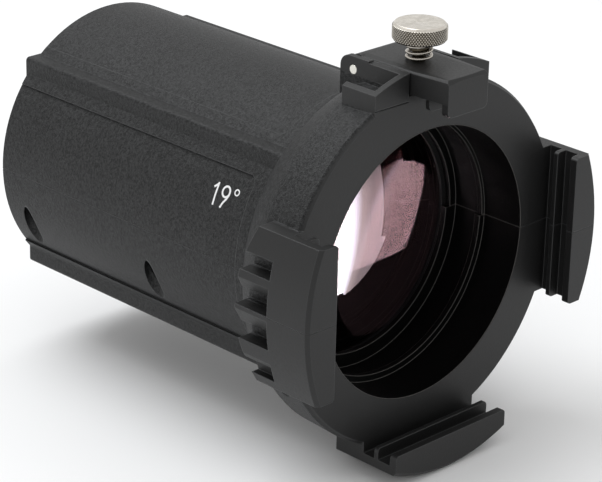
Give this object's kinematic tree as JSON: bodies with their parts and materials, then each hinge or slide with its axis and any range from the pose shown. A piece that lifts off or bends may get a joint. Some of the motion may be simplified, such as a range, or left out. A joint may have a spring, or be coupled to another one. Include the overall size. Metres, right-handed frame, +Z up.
{
  "type": "ellipsoidal spotlight lens tube",
  "caption": "Lens tube of an ellipsoidal spotlight with coated lenses, accessory slots round its front ring and a hinged top gate locked by a knurled thumb screw.",
  "frame": {"origin": "on the optical axis in the plane of the front ring's face, at the mouth of the front bore", "axes": "+Y along the optical axis to the rear of the tube, +Z up through the hinged gate, so light leaves along -Y"},
  "size_m": [0.1224, 0.154, 0.133],
  "materials": {
    "shell_plastic": "moulded, fine spark-eroded grain",
    "gate_plastic": "moulded, smoother satin",
    "stainless": "turned and knurled stainless steel",
    "pin_steel": "plain steel pin",
    "spring_steel": "drawn stainless wire",
    "clip_steel": "phosphated spring steel",
    "brass": "turned brass",
    "coated_glass": "polished optical glass with a purple anti-reflection coating",
    "silicone": "black silicone",
    "anodised_black": "black anodised, satin",
    "screw_steel": "black oxide steel",
    "dowel_steel": "ground steel"
  },
  "bodies": {
    "barrel": {"upper_shell": "shell_plastic", "lower_shell": "shell_plastic", "gate_hinge_pin": "pin_steel", "gate_lock_insert": "brass", "front_lens": "coated_glass", "middle_lens": "coated_glass", "rear_lens": "coated_glass", "front_lens_gasket": "silicone", "middle_lens_gasket": "silicone", "rear_lens_gasket": "silicone", "front_retaining_ring": "anodised_black", "light_baffle": "anodised_black", "shell_screws_front": "screw_steel", "shell_screws_middle": "screw_steel", "shell_screws_rear": "screw_steel", "shell_dowels": "dowel_steel"},
    "gate": {"accessory_gate": "gate_plastic", "thumb_screw_spring": "spring_steel"},
    "screw_carrier": {"thumb_screw_clip": "clip_steel"},
    "screw": {"thumb_screw": "stainless"}
  },
  "joints": [
    {"name": "gate_open", "type": "hinge", "parent": "barrel", "child": "gate", "pos_m": [0, 0.0201, 0.0567], "axis": [-1, 0, 0], "range_deg": [0, 100]},
    {"name": "screw_lift", "type": "slide", "parent": "gate", "child": "screw_carrier", "axis": [0, 0, 1], "range_m": [-0.0028, 0], "stiffness_N_per_m": 300, "springref_m": 0.004, "deforming": ["thumb_screw_spring"]},
    {"name": "thumb_turn", "type": "hinge", "parent": "screw_carrier", "child": "screw", "pos_m": [0, 0.006, 0.06], "axis": [0, 0, 1], "range_deg": [-1440, 0]}
  ],
  "couplings": [
    {"joint": "thumb_turn", "follows": "screw_lift", "rad_per_m": 8975.9}
  ]
}
